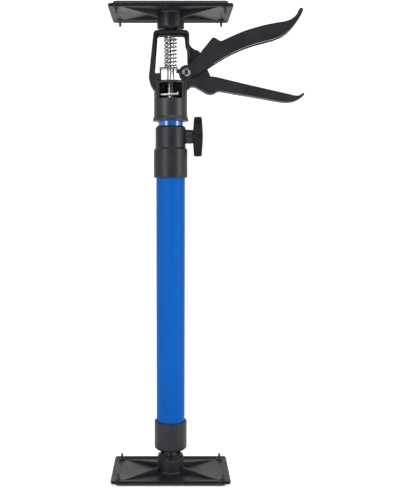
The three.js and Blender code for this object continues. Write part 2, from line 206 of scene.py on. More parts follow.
def slab(outline, low, high, edge=0.0, holes=(), place=lambda u, v, w: (u, w, v)):
    """A plate with an outline in two directions and rounded edges in the third; holes are outlines too."""
    loops = [clean(list(outline))] + [clean(list(h)) for h in holes]
    layers = edge_layers(edge, low, high)
    points, faces, ends = [], [], []
    for number, loop in enumerate(loops):
        rings = []
        for distance, w in layers:
            ring = inset(loop, distance if number == 0 else -distance)
            rings.append([len(points) + i for i in range(len(ring))])
            points += [place(u, v, w) for u, v in ring]
        for below, above in zip(rings, rings[1:]):
            n = len(below)
            faces += [(below[i], below[(i + 1) % n], above[(i + 1) % n], above[i]) for i in range(n)]
        ends.append((rings[0], rings[-1]))
    for side in (0, 1):
        if len(loops) == 1:
            faces.append(tuple(ends[0][side]))
            continue
        rows = [[Vector(points[i]) for i in end[side]] for end in ends]
        order = [i for end in ends for i in end[side]]
        faces += [tuple(order[i] for i in t) for t in tessellate_polygon(rows)]
    return points, faces


def upright(u, v, w):
    """Outline in X and Y, thickness along Z."""
    return u, v, w


def sideways(u, v, w):
    """Outline in Y and Z, thickness along X."""
    return w, u, v


def lathe(loop, sides=96, start=0.0, sweep=360.0):
    """A closed loop of (radius, height) turned about Z, wholly or through a part of a turn."""
    full = sweep >= 360
    columns = sides if full else sides + 1
    points, rings, faces = [], [], []
    for r, z in loop:
        if r < 1e-6:
            rings.append([len(points)] * columns)
            points.append((0.0, 0.0, z))
            continue
        rings.append([len(points) + i for i in range(columns)])
        for i in range(columns):
            a = math.radians(start + sweep * i / sides)
            points.append((r * math.cos(a), r * math.sin(a), z))
    n = len(loop)
    for k in range(n):
        a, b = rings[k], rings[(k + 1) % n]
        for i in range(sides):
            j = (i + 1) % columns
            face = []
            for v in (a[i], a[j], b[j], b[i]):
                if v not in face:
                    face.append(v)
            if len(face) > 2:
                faces.append(tuple(face))
    if not full:
        faces.append(tuple(dict.fromkeys(ring[0] for ring in rings)))
        faces.append(tuple(dict.fromkeys(ring[-1] for ring in rings)))
    return points, faces


def arc(x, y, r, first, last, steps):
    """Points on an arc about (x, y) with both its ends; the angles are in degrees."""
    turns = [math.radians(first + (last - first) * k / steps) for k in range(steps + 1)]
    return [(x + r * math.cos(a), y + r * math.sin(a)) for a in turns]


def round_rect(x, y, r, steps=8):
    """A rectangle of half sizes x and y with corners of radius r."""
    corners = ((x - r, y - r, 0), (r - x, y - r, 90), (r - x, r - y, 180), (x - r, r - y, 270))
    return [point for cx, cy, first in corners for point in arc(cx, cy, r, first, first + 90, steps)]


def loft(rings):
    """Closed skin through rounded rectangles (half x, half y, corner radius, z), flat at both ends."""
    points, rows, faces = [], [], []
    for x, y, r, z in rings:
        ring = round_rect(x, y, r)
        rows.append([len(points) + i for i in range(len(ring))])
        points += [(u, v, z) for u, v in ring]
    n = len(rows[0])
    for a, b in zip(rows, rows[1:]):
        faces += [(a[i], a[(i + 1) % n], b[(i + 1) % n], b[i]) for i in range(n)]
    faces.append(tuple(rows[0]))
    faces.append(tuple(rows[-1]))
    return points, faces


def coil(radius, wire, low, high, turns):
    """A compression spring: an end turn lies closed at each end, and the wire's ends are rounded off.
    The wire is given by its radius, low and high are the heights of its middle line."""
    per_turn, around = 36, 12
    lie = 2.1 * wire
    inner = high - low - 2 * lie
    count = int(turns * per_turn)
    points, faces, rings = [], [], []

    def height(t):
        closed = 0.9 / turns
        if t < closed:
            return low + lie * t / closed
        if t > 1 - closed:
            return high - lie * (1 - t) / closed
        return low + lie + inner * (t - closed) / (1 - 2 * closed)

    def at(t):
        a = 2 * math.pi * turns * t
        return Vector((radius * math.cos(a), radius * math.sin(a), height(t)))

    ends = [(-0.8, 0.25), (-0.55, 0.7), (0.0, 1.0)]
    stations = [(0.0, shift, size) for shift, size in ends]
    stations += [(k / count, 0.0, 1.0) for k in range(1, count)]
    stations += [(1.0, -shift, size) for shift, size in reversed(ends)]
    for t, shift, size in stations:
        step = 1e-4
        ahead = (at(min(1, t + step)) - at(max(0, t - step))).normalized()
        centre = at(t) + ahead * shift * wire
        out = Vector((centre.x, centre.y, 0)).normalized()
        side = ahead.cross(out).normalized()
        out = side.cross(ahead)
        rings.append([len(points) + i for i in range(around)])
        for i in range(around):
            a = 2 * math.pi * i / around
            points.append(tuple(centre + (out * math.cos(a) + side * math.sin(a)) * wire * size))
    for a, b in zip(rings, rings[1:]):
        faces += [(a[i], a[(i + 1) % around], b[(i + 1) % around], b[i]) for i in range(around)]
    faces += [tuple(rings[0]), tuple(rings[-1])]
    return points, faces


def mesh_object(name, shape):
    """A shape in millimetres becomes a mesh in metres, welded and with its normals outwards."""
    mesh = bpy.data.meshes.new(name)
    mesh.from_pydata([(x * MM, y * MM, (z + LIFT) * MM) for x, y, z in shape[0]], [], shape[1])
    made = bmesh.new()
    made.from_mesh(mesh)
    bmesh.ops.remove_doubles(made, verts=made.verts, dist=2e-7)
    bmesh.ops.recalc_face_normals(made, faces=made.faces)
    made.to_mesh(mesh)
    made.free()
    thing = bpy.data.objects.new(name, mesh)
    bpy.context.scene.collection.objects.link(thing)
    return thing


def applied(thing):
    """The piece with its modifiers worked into its mesh."""
    bpy.context.view_layer.update()
    whole = bpy.data.meshes.new_from_object(thing.evaluated_get(bpy.context.evaluated_depsgraph_get()))
    thing.modifiers.clear()
    old = thing.data
    thing.data = whole
    bpy.data.meshes.remove(old)
    whole.name = thing.name
    return thing


def less(thing, tool_shape):
    """The piece with another shape cut out of it."""
    tool = mesh_object("tool", tool_shape)
    step = thing.modifiers.new("cut", "BOOLEAN")
    step.operation = "DIFFERENCE"
    step.solver = "MANIFOLD"
    step.object = tool
    applied(thing)
    bpy.data.objects.remove(tool)
    return thing


def smooth(thing, angle=32):
    for face in thing.data.polygons:
        face.use_smooth = True
    thing.data.set_sharp_from_angle(angle=math.radians(angle))


def edge_round(thing, width):
    step = thing.modifiers.new("edges", "BEVEL")
    step.width = width * MM
    step.segments = 3
    step.limit_method = "ANGLE"
    step.angle_limit = math.radians(40)
    step.use_clamp_overlap = True
    step.harden_normals = True


def finish_piece(thing, node, material, angle=32):
    """The object takes its material and stands in for a CAD node on that node's body."""
    thing.data.materials.clear()
    thing.data.materials.append(material)
    smooth(thing, angle)
    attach(thing, BODY_OF[node])
    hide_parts(node)
    return thing


def second_material(thing, material, chosen):
    """Faces for which chosen(centre in millimetres, normal) holds get one more material."""
    number = len(thing.data.materials)
    thing.data.materials.append(material)
    for face in thing.data.polygons:
        x, y, z = face.center / MM
        if chosen((x, y, z - LIFT), face.normal):
            face.material_index = number


def piece(name, node, shape, material, angle=32):
    return finish_piece(mesh_object(name, shape), node, material, angle)


# ---------------------------------------------------------------- materials
def new_material(name):
    material = bpy.data.materials.new(name)
    material.use_nodes = True
    tree = material.node_tree
    shader = tree.nodes["Principled BSDF"]
    place = tree.nodes.new("ShaderNodeTexCoord").outputs["Object"]
    return material, tree, shader, place


def noise(tree, place, scale, detail, rough=0.55, stretch=None):
    if stretch:
        mapping = tree.nodes.new("ShaderNodeMapping")
        mapping.inputs["Scale"].default_value = stretch
        tree.links.new(place, mapping.inputs["Vector"])
        place = mapping.outputs["Vector"]
    node = tree.nodes.new("ShaderNodeTexNoise")
    node.inputs["Scale"].default_value = scale
    node.inputs["Detail"].default_value = detail
    node.inputs["Roughness"].default_value = rough
    tree.links.new(place, node.inputs["Vector"])
    return node.outputs["Fac"]


def spread(tree, value, low, high, from_low=0.3, from_high=0.7):
    node = tree.nodes.new("ShaderNodeMapRange")
    node.inputs["From Min"].default_value = from_low
    node.inputs["From Max"].default_value = from_high
    node.inputs["To Min"].default_value = low
    node.inputs["To Max"].default_value = high
    tree.links.new(value, node.inputs["Value"])
    return node.outputs["Result"]


def blend_colour(tree, value, first, second):
    node = tree.nodes.new("ShaderNodeMix")
    node.data_type = "RGBA"
    node.inputs["A"].default_value = (*first, 1)
    node.inputs["B"].default_value = (*second, 1)
    tree.links.new(value, node.inputs["Factor"])
    return node.outputs["Result"]


def arithmetic(tree, operation, first, second):
    node = tree.nodes.new("ShaderNodeMath")
    node.operation = operation
    tree.links.new(first, node.inputs[0])
    tree.links.new(second, node.inputs[1])
    return node.outputs["Value"]


def bump(tree, shader, height, depth_mm, strength):
    node = tree.nodes.new("ShaderNodeBump")
    node.inputs["Distance"].default_value = depth_mm * MM
    node.inputs["Strength"].default_value = strength
    tree.links.new(height, node.inputs["Height"])
    tree.links.new(node.outputs["Normal"], shader.inputs["Normal"])


def scratches(tree, place, stretch, scale, width):
    """Thin lines where a stretched noise crosses its middle value: 1 on a line, 0 beside it."""
    value = noise(tree, place, scale, 2.0, 0.5, stretch)
    away = tree.nodes.new("ShaderNodeMath")
    away.operation = "SUBTRACT"
    away.inputs[1].default_value = 0.5
    tree.links.new(value, away.inputs[0])
    size = tree.nodes.new("ShaderNodeMath")
    size.operation = "ABSOLUTE"
    tree.links.new(away.outputs["Value"], size.inputs[0])
    return spread(tree, size.outputs["Value"], 1.0, 0.0, 0.0, width)


def rubbed(tree, colour, bare, lines, patches, most):
    """The colour with a paler one let through on thin lines, in patches only."""
    worn = arithmetic(tree, "MULTIPLY", lines, patches)
    mix = tree.nodes.new("ShaderNodeMix")
    mix.data_type = "RGBA"
    mix.inputs["B"].default_value = (*bare, 1)
    tree.links.new(colour, mix.inputs["A"])
    tree.links.new(spread(tree, worn, 0.0, most, 0.0, 1.0), mix.inputs["Factor"])
    return mix.outputs["Result"]


def plastic(name, dark, light, rough_low, rough_high, gloss):
    """Moulded black nylon: fine spark-eroded grain, faint flow mottling and a few scuffs."""
    material, tree, shader, place = new_material(name)
    mottle = noise(tree, place, 55, 4)
    grain = noise(tree, place, 2600, 2, 0.6)
    scuffs = scratches(tree, place, (1.0, 0.35, 2.2), 160, 0.006)
    patches = spread(tree, noise(tree, place, 24, 3), 0.0, 1.0, 0.5, 0.62)
    colour = blend_colour(tree, spread(tree, mottle, 0.0, 1.0), dark, light)
    colour = rubbed(tree, colour, (0.11, 0.11, 0.115), scuffs, patches, 0.35)
    tree.links.new(colour, shader.inputs["Base Color"])
    tree.links.new(spread(tree, mottle, rough_low, rough_high), shader.inputs["Roughness"])
    bump(tree, shader, grain, 0.012, 0.55)
    shader.inputs["Specular IOR Level"].default_value = gloss
    return material


def rubber(name):
    """Matt black rubber with a coarse grain."""
    material, tree, shader, place = new_material(name)
    mottle = noise(tree, place, 90, 4)
    grain = noise(tree, place, 1500, 3, 0.65)
    tree.links.new(
        blend_colour(tree, spread(tree, mottle, 0, 1), (0.012, 0.012, 0.013), (0.024, 0.024, 0.025)),
        shader.inputs["Base Color"])
    tree.links.new(spread(tree, mottle, 0.62, 0.82), shader.inputs["Roughness"])
    bump(tree, shader, grain, 0.03, 0.7)
    return material


def paint(name, dark, light, rough_low, rough_high, peel_mm, coat, gloss):
    """Blue coat on steel tube: orange peel, faint colour drift and hairline rubbing along the tube."""
    material, tree, shader, place = new_material(name)
    drift = noise(tree, place, 18, 3)
    peel = noise(tree, place, 700, 2, 0.5)
    rubs = scratches(tree, place, (1.0, 1.0, 0.06), 420, 0.008)
    patches = spread(tree, noise(tree, place, 16, 3), 0.0, 1.0, 0.52, 0.66)
    colour = blend_colour(tree, spread(tree, drift, 0, 1), dark, light)
    colour = rubbed(tree, colour, (0.10, 0.28, 0.62), rubs, patches, 0.4)
    tree.links.new(colour, shader.inputs["Base Color"])
    tree.links.new(spread(tree, drift, rough_low, rough_high), shader.inputs["Roughness"])
    shader.inputs["Specular IOR Level"].default_value = gloss
    shader.inputs["Coat Weight"].default_value = coat
    shader.inputs["Coat Roughness"].default_value = 0.12
    shader.inputs["Coat IOR"].default_value = 1.5
    bump(tree, shader, peel, peel_mm, 0.5)
    return material


def metal(name, dark, light, rough_low, rough_high, stretch, line_mm):
    """Plated or drawn steel with fine lines in one direction and clouded brightness."""
    material, tree, shader, place = new_material(name)
    cloud = noise(tree, place, 70, 3)
    lines = noise(tree, place, 900, 3, 0.6, stretch)
    tree.links.new(blend_colour(tree, spread(tree, cloud, 0, 1), dark, light), shader.inputs["Base Color"])
    tree.links.new(spread(tree, lines, rough_low, rough_high), shader.inputs["Roughness"])
    shader.inputs["Metallic"].default_value = 1.0
    bump(tree, shader, lines, line_mm, 0.5)
    return material


# Black nylon of the plates and the pole, of the head and lever, of deep places painted darker as shade, of
# the sleeve, glossier and painted lighter as a highlight, of the duller, darker knob and of the rims'
# upright sides, painted darker as shade, and of the lever's bottom edge, painted pale as a highlight. Each
# has a dark and a light colour, a lowest and a highest roughness, and a gloss.
BLACK = plastic("black_nylon", (0.005, 0.0055, 0.008), (0.009, 0.0095, 0.013), 0.36, 0.48, 0.3)
BLACK_HEAD = plastic("black_nylon_head", (0.004, 0.004, 0.007), (0.008, 0.008, 0.012), 0.44, 0.56, 0.24)
# Near-black plastic painted dark as shade in recesses: the frame inside the head's window and the lever's
# channel.
BLACK_PAINTED_SHADE = plastic("black_nylon_painted_shade", (0.002, 0.002, 0.003), (0.004, 0.004, 0.005), 0.55, 0.7, 0.12)
# Glossier plastic for the round sleeve, its colour painted lighter than the head's as a highlight.
BLACK_SLEEVE_LIT = plastic("black_nylon_sleeve_lit", (0.006, 0.0065, 0.009), (0.010, 0.0105, 0.014), 0.34, 0.44, 0.4)
# Duller, darker plastic for the knob; on the rims' upright sides its darkness is painted shade.
BLACK_DULL_SHADE = plastic("black_nylon_dull_shade", (0.003, 0.003, 0.0045), (0.005, 0.005, 0.0075), 0.38, 0.5, 0.14)
# Pale plastic painted along the lever's lower edge as a highlight, where that edge catches the light.
PAINTED_HIGHLIGHT_EDGE = plastic("black_nylon_painted_highlight_edge", (0.10, 0.10, 0.105), (0.20, 0.20, 0.205), 0.34, 0.42, 0.6)
RUBBER = rubber("black_rubber")

BLUE = paint("blue_satin", (0.0006, 0.066, 0.285), (0.0009, 0.075, 0.32), 0.42, 0.52, 0.02, 0.0, 0.06)
BLUE_GLOSS = paint("blue_gloss", (0.001, 0.085, 0.34), (0.002, 0.100, 0.40), 0.10, 0.16, 0.008, 1.0, 0.6)

# The metals have the stretch of their fine lines and the depth of these in millimetres instead of a gloss.
ZINC = metal("bright_zinc", (0.60, 0.61, 0.63), (0.72, 0.72, 0.73), 0.16, 0.28, (1, 1, 0.4), 0.004)
SATIN = metal("satin_zinc", (0.86, 0.87, 0.88), (0.94, 0.94, 0.95), 0.34, 0.46, (1, 1, 0.4), 0.004)
RIVET = metal("rivet_steel", (0.30, 0.30, 0.32), (0.42, 0.42, 0.44), 0.10, 0.20, (1, 1, 1), 0.003)
WIRE = metal("spring_wire", (0.80, 0.80, 0.81), (0.92, 0.92, 0.93), 0.14, 0.24, (1, 1, 1), 0.003)
# Near-black steel painted where there is shade or a dark reflection: the rod's corners and the springs'
# undersides.
PAINTED_DARK_STEEL = metal("steel_painted_shade_and_dark_reflection", (0.03, 0.03, 0.03), (0.07, 0.07, 0.07), 0.2, 0.3, (1, 1, 1), 0.003)
DRAWN = metal("drawn_steel", (0.70, 0.71, 0.73), (0.82, 0.82, 0.84), 0.26, 0.36, (1, 1, 0.03), 0.006)


# ---------------------------------------------------------------- end plates
def at_stems(shape):
    """Copies of a shape at the four stems of the pad."""
    return [placed(shape, STEM_X * sx, STEM_Y * sy) for sx in (-1, 1) for sy in (-1, 1)]


def plate_shape():
    """A tray with a rim, four diagonal ribs, a round hub, and a boss round each stem of the pad."""
    x, y = PLATE_X, PLATE_Y
    under = 1.5
    tray = loft([
        (x - 0.4, y - 0.4, 2.6, under),
        (x, y, 3.0, under + 0.4),
        (x, y, 3.0, 4.5),
        (x - 0.1, y - 0.1, 2.9, 4.8),
        (x - 0.4, y - 0.4, 2.6, 4.9),
        (x - 2.0, y - 2.0, 1.8, 4.9),
        (x - 2.35, y - 2.35, 1.6, 4.75),
        (x - 2.5, y - 2.5, 1.5, 4.4),
        (x - 2.6, y - 2.6, 1.5, 4.15),
        (x - 4.6, y - 4.6, 1.2, 4.1),
        (x - 4.85, y - 4.85, 1.2, 3.95),
        (x - 5.0, y - 5.0, 1.2, 3.45),
        (x - 5.4, y - 5.4, 1.2, 3.35),
    ])
    angle = math.degrees(math.atan2(29.5, 48))
    fin = rounded([(12.5, 2.6), (56.6, 2.6), (56.6, 3.7, 0.4), (51, 4.3, 4), (13.2, 9.1, 0.5), (12.5, 9.1)])
    rib_half = 0.95
    rib = slab(fin, -rib_half, rib_half, 0.3)
    ribs = [turned_z(rib, turn) for turn in (angle, 180 - angle, 180 + angle, -angle)]
    hub = lathe(rounded([
        (11.6, 3.4), (11.6, 18.5, 0.5), (14.0, 18.5, 0.6), (14.0, 4.4, 0.9), (15.2, 3.2, 0.5), (15.2, 2.4),
        (11.6, 2.4)]))
    seat = lathe([(0, 2.2), (11.9, 2.2), (11.9, 3.45), (0, 3.45)])
    boss = lathe(rounded([(2.2, 2.4), (4.2, 2.4), (3.7, 4.6, 0.4), (2.2, 4.6, 0.2)]), 32)
    gate = placed(lathe(rounded([(0, 3.0), (1.8, 3.0), (1.5, 4.4, 0.3), (0, 4.4)]), 24), 0, -24)
    return merged(tray, hub, seat, gate, *ribs, *at_stems(boss))


def pad_shape():
    """A rubber pad whose four stems stand through the plate."""
    x, y = 57.35, 33.5
    skin = loft([
        (x - 0.6, y - 0.6, 4.4, -LIFT),
        (x - 0.15, y - 0.15, 4.85, 0.2 - LIFT),
        (x, y, 5.0, 0.6 - LIFT),
        (x, y, 5.0, 1.45),
    ])
    stem = rounded([
        (0, 1.0), (1.9, 1.0), (1.9, 5.2, 0.4), (1.35, 6.0, 0.4), (1.15, 8.2, 0.3), (1.3, 9.2, 0.4),
        (1.0, 10.3, 0.5), (0, 10.3)])
    return merged(skin, *at_stems(lathe(stem, 24)))


def socket_ring_shape(stand, reach):
    """A base ring and six springy fingers whose inner faces follow the ball. The fingers stand out of the
    hub up to the height stand, and lie over its edge up to the radius reach."""
    inner, wall, hub_top = 9.3, 11.3, 18.7
    low, split, top = 3.7, 9.5, 17.6

    def bowl(z0, z1, steps):
        levels = [z0 + (z1 - z0) * k / steps for k in range(steps + 1)]
        return [(math.sqrt(max(inner ** 2 - (z - BALL_Z) ** 2, 0.04)), z) for z in levels]

    base = lathe([(wall, low), (wall, split), *reversed(bowl(5.2, split, 8)), (0.2, 5.0), (0.2, low)])
    loop = [
        (wall, split), (wall, hub_top), (reach, hub_top + 0.05), (reach, stand - 0.4), (reach - 0.4, stand),
        (wall + 0.1, stand), *reversed(bowl(split, top, 10))]
    spacing, sweep = 60, 48
    fingers = [lathe(loop, 12, spacing * k - sweep / 2, sweep) for k in range(6)]
    return merged(base, *fingers)


def ball_shape(neck_r, neck_top, flat):
    """A ball with a flat below its centre and a neck above; the neck meets the ball in a small fillet."""
    low = BALL_Z - flat
    fillet_r = neck_r + 0.8
    loop = [(0, low), (math.sqrt(BALL_R ** 2 - flat ** 2), low)]
    for k in range(25):
        a = math.pi * (0.80 * k / 24 - 0.5)
        r, z = BALL_R * math.cos(a), BALL_Z + BALL_R * math.sin(a)
        if z > low + 0.2 and (z < BALL_Z or r > fillet_r):
            loop.append((r, z))
    z = BALL_Z + math.sqrt(BALL_R ** 2 - fillet_r ** 2)
    loop += [
        (neck_r + 0.35, z + 0.35), (neck_r, z + 1.1), (neck_r, neck_top - 0.4), (neck_r - 0.4, neck_top),
        (0, neck_top)]
    return lathe(loop, 72)


foot_plate = piece("foot_plate", "base_plate", plate_shape(), BLACK)
piece("foot_pad", "base_pad", pad_shape(), RUBBER)
piece("foot_socket_ring", "base_socket_ring", socket_ring_shape(stand=20.9, reach=13.3), BLACK)
piece("foot_ball", "base_ball", ball_shape(neck_r=6.0, neck_top=42.0, flat=7.6), BLACK)
head_plate = piece("head_plate", "top_plate", upside_down(plate_shape()), BLACK)
# The rim's upright sides are duller than the rest of a plate, and painted darker as shade.
for plate in (foot_plate, head_plate):
    second_material(plate, BLACK_DULL_SHADE, lambda at, normal: (
        abs(normal.z) < 0.5 and (abs(at[0]) > 57 or abs(at[1]) > 33)))
piece("head_pad", "top_pad", upside_down(pad_shape()), RUBBER)
piece("head_socket_ring", "top_socket_ring", upside_down(socket_ring_shape(stand=19.2, reach=12.3)), BLACK)
piece("head_ball", "top_ball_stud", upside_down(ball_shape(neck_r=5.0, neck_top=26.0, flat=7.6)), BLACK)


# ---------------------------------------------------------------- foot cap, tubes and collar
CAP_LOOP = rounded([
    (6.3, 27.0), (15.4, 27.0, 1.6), (17.25, 28.8, 1.4), (17.25, 57.6, 1.1), (15.3, 57.6, 0.4), (15.15, 56.6),
    (15.15, 29.0), (6.3, 29.0)])
piece("pole_foot_cap", "foot_cap", lathe(CAP_LOOP, ROUND), BLACK)
OUTER_LOOP = rounded([
    (OUTER_R - WALL, 29.3), (OUTER_R, 29.3, 0.3), (OUTER_R, 345.0, 0.5), (OUTER_R - WALL, 345.0, 0.4)])
piece("outer_pole", "outer_tube", lathe(OUTER_LOOP, ROUND), BLUE)
INNER_LOOP = rounded([
    (INNER_R - WALL, 66.0), (INNER_R, 66.0, 0.3), (INNER_R, 393.8, 0.5), (INNER_R - WALL, 393.8, 0.4)])
piece("inner_pole", "inner_tube", lathe(INNER_LOOP, ROUND), BLUE_GLOSS)


def collar_shape():
    """A collar in two steps, with the boss of the knob."""
    body = lathe(rounded([
        (15.15, 315.2, 0.3), (17.5, 315.2, 1.0), (17.5, 344.4, 1.1), (16.2, 345.5, 0.4), (15.75, 346.2, 0.2),
        (15.75, 366.9, 1.6), (14.2, 368.5, 0.4), (13.6, 368.5, 0.2), (13.6, 345.3), (15.15, 345.3)]), ROUND)
    boss = along_x(lathe(rounded([
        (2.9, 15.0), (6.2, 15.0), (7.3, 15.4), (7.3, 22.4, 0.3), (7.0, 22.6), (7.0, 23.1, 0.3),
        (2.9, 23.1, 0.4)]), 64), KNOB_Z)
    return merged(body, boss)


piece("clamp_body", "clamp_collar", collar_shape(), BLACK)


def knob_shape():
    """Wing knob: two tapered wings run into a round hub; seen from +X it is a long rounded bow."""
    low, high, wing = 23.4, 33.3, 20.5
    middle = (low + high) / 2
    right = smooth_line([
        (9.0, 0), (8.8, 3.2), (7.0, 6.9), (5.0, 10.2), (4.2, 14.0), (3.9, 17.5), (3.2, 19.7), (1.6, 20.45),
        (0, wing)], 5)
    upper = right[:-1] + [(-u, v) for u, v in reversed(right)]
    lower = [(-u, -v) for u, v in upper[1:-1]]
    outline = upper + lower
    flat_points, faces = slab(clean(outline), low, high, 1.6, place=sideways)
    points = []
    for x, y, z in flat_points:
        far = abs(z) / wing
        front = 1 - 0.20 * far ** 2
        back = 1 - 0.18 * max(0.0, far - 0.35) / 0.65
        x = middle + (x - middle) * (front if x > middle else back)
        points.append((x, y, z + KNOB_Z))
    hub = along_x(lathe(rounded([
        (2.9, low), (8.9, low, 0.5), (9.1, 26, 1), (9.1, 32.4, 1.2), (7.6, high, 0.6), (0, high), (0, 30.2),
        (2.9, 30.2)]), 64), KNOB_Z)
    return merged((points, faces), hub)


piece("clamp_wing_knob", "clamp_knob", knob_shape(), BLACK_DULL_SHADE)


# ---------------------------------------------------------------- head housing
def remeshed(thing, voxel):
    """The piece with one closed skin of even facets."""
    step = thing.modifiers.new("skin", "REMESH")
    step.mode = "VOXEL"
    step.voxel_size = voxel * MM
    step.adaptivity = 0
    return applied(thing)


def moulded(name, shapes, cuts, soften=5):
    """One moulding from overlapping shapes less the cuts, with its edges and inner corners rounded off."""
    voxel, keep = 0.36, 0.4
    thing = remeshed(mesh_object(name, merged(*shapes)), voxel)
    for cut in cuts:
        less(thing, cut)
    thing = remeshed(thing, voxel)
    step = thing.modifiers.new("soften", "SMOOTH")
    step.factor = 0.5
    step.iterations = soften
    step = thing.modifiers.new("thin", "DECIMATE")
    step.ratio = keep
    return applied(thing)


def sleeve():
    """The round sleeve over the inner tube, with a rim at its foot."""
    return lathe(rounded([
        (13.5, 373.6, 0.4), (18.8, 373.6, 0.6), (18.7, 375.2, 0.5), (17.5, 378.4, 0.8), (17.25, 384, 2),
        (17.2, SLEEVE_TOP, 0.6), (0, SLEEVE_TOP), (0, 394.1), (13.5, 394.1)]), ROUND)


def arch():
    """The arch round the spring's window."""
    outline = [
        (-9.8, 404), (-9.8, 426.2), (-11.3, 426.2), (-11.3, 421.9), (-16.9, 421.9, 0.6), (-15.4, 462.2, 1.6),
        (16.5, 462.2, 1.6), (17.3, 433.4, 0.3), (19.1, 435.0, 0.6), (19.1, 465.5, 4.6), (-17.4, 465.5, 4.6),
        (-22.5, 417.6, 3.5), (-21.2, 411.8, 5), (-17.1, 404.6, 3)]
    return slab(rounded(outline), -ARCH_HALF, ARCH_HALF, 0.5)


def inner_frame():
    """A thinner frame inside the arch, which narrows the window a little."""
    outline = [
        (-9.9, 405), (-9.9, 426.0), (-11.2, 426.0), (-11.2, 421.7), (-16.3, 421.7, 0.6), (-13.4, 460.8, 2.4),
        (14.3, 460.8, 2.4), (15.5, 449.6, 1.6), (16.6, 447.2, 1.0), (18.6, 446.8, 0.3), (18.6, 464.6, 4.2),
        (-17.0, 464.6, 4.2), (-21.6, 417.6, 3), (-20.4, 412, 5), (-16.4, 406, 3)]
    return slab(rounded(outline), -INNER_HALF, INNER_HALF, 0.4)


def pivot_web():
    """The web that carries the rivet between the lever's cheeks."""
    outline = [
        (10.8, 413), (42, 412.5), (41.4, 419, 1), (38.2, 426.0, 2.5), (36.9, 436, 3), (31.5, 442.6, 3),
        (29.0, 445.2, 2), (26.4, 446.2), (23.6, 447.3), (21.2, 449.2), (19.6, 451.8), (18.6, 455.5, 2),
        (17.5, 456), (17.5, 429.6), (14, 427.5), (10.8, 424.5), (10.8, 420)]
    return slab(rounded(outline), -WEB_HALF, WEB_HALF)


def fixed_grip():
    """The fixed grip: its lower edge, its upper edge, and the blunt tip between them."""
    lower = smooth_line([
        (12, 405.6), (15, 405.5), (17.6, 405.9), (19.8, 408.0), (22.8, 409.1), (26.4, 408.1), (32, 404.9),
        (36.6, 402.3), (40.8, 401.2), (44.8, 401.9), (50.5, 404.3), (66, 401.8), (82, 399.1), (98, 396.4),
        (112.7, 393.8), (118.5, 393.1), (124, 393.3), (129, 394.4), (133.6, 396.7), (137.2, 399.9)], 5)
    upper = smooth_line([
        (134.4, 401.0), (131.8, 399.6), (127.6, 399.7), (118, 401.9), (84, 409.6), (60, 415.2), (47, 418.3),
        (40, 418.7), (30, 416.9), (12, 416.9)], 5)
    tip = [(137.7, 401.2), (137.2, 402.3), (136.2, 402.3)]
    return slab(clean(lower + tip + upper), -GRIP_HALF, GRIP_HALF, 0.4)


def housing():
    """Sleeve, arch, web and fixed grip in one moulding, open for the lock plate, the rod and the stud."""
    lock_window = slab([(-11.6, 396.2), (11.6, 396.2), (11.6, 411.9), (-11.6, 411.9)], -20, 7.7)
    rod_hole = lathe([(0, 390), (4.4, 390), (4.4, 425), (0, 425)], 48)
    stud_hole = lathe([(0, 455), (5.6, 455), (5.6, 463.6), (7.6, 466.6), (0, 466.6)], 64)
    body = moulded("head_arch_and_grip", [sleeve(), arch(), pivot_web(), fixed_grip()],
                   [lock_window, rod_hole, stud_hole])
    finish_piece(body, "head_housing", BLACK_HEAD, 50)
    # The sleeve's faces are glossier and painted lighter, as a highlight.
    second_material(body, BLACK_SLEEVE_LIT, lambda at, normal: (
        at[2] < 380 or at[2] < SLEEVE_TOP + 0.2 and math.hypot(at[0], at[1]) < 17.5))
    # The frame inside the window is painted near black, as shade in the window's reveal.
    inner = mesh_object("head_inner_frame", inner_frame())
    less(inner, lathe([(0, 455), (5.6, 455), (5.6, 470), (0, 470)], 64))
    finish_piece(inner, "head_housing", BLACK_PAINTED_SHADE)


housing()


# ---------------------------------------------------------------- squeeze lever and rivet
def lever_outline():
    """The lever from the front: its lower edge, upper edge, thumb rest, and the eye round the rivet."""
    lower = smooth_line([
        (22.5, 419.6), (30.5, 422.9), (37.3, 426.8), (47.5, 433.6), (58.4, 439.9), (70.5, 445.8),
        (84.2, 450.9), (97, 454.4), (107.3, 457.3), (117.5, 462.0), (125.6, 469.6), (131.4, 477.7),
        (134.8, 484.4), (135.3, 487.7)], 5)
    upper = smooth_line([
        (132.0, 488.0), (131.5, 486.0), (129.0, 482.0), (124.7, 477.8), (118, 474.9), (107, 473.0),
        (96.4, 470.9), (84, 467.6), (72, 463.6), (58.5, 457.7)], 5)
    thumb = rounded([(58.5, 457.7), (51.4, 454.4, 3.2), (43.4, 459.1, 2.6), (30.6, 443.0, 6), (18.6, 431.6)])
    eye = arc(PIVOT_X, PIVOT_Z, EYE_R, 72, 305, 24)
    return clean(lower + upper[:-1] + thumb[1:-1] + eye)


def channel_outline():
    """The hollow of the lever. It runs out below the lever's lower edge, so the channel is open there."""
    below = [
        (46, 424), (60, 433), (86, 444), (110, 450), (124, 459), (129.5, 468), (129.6, 474.8),
        (126.2, 475.4)]
    roof = smooth_line([
        (118, 471.9), (107, 470.2), (96.4, 468.1), (84, 464.8), (72, 460.8), (58.5, 455.0), (51, 452.0),
        (46, 453.6)], 4)
    return below + roof


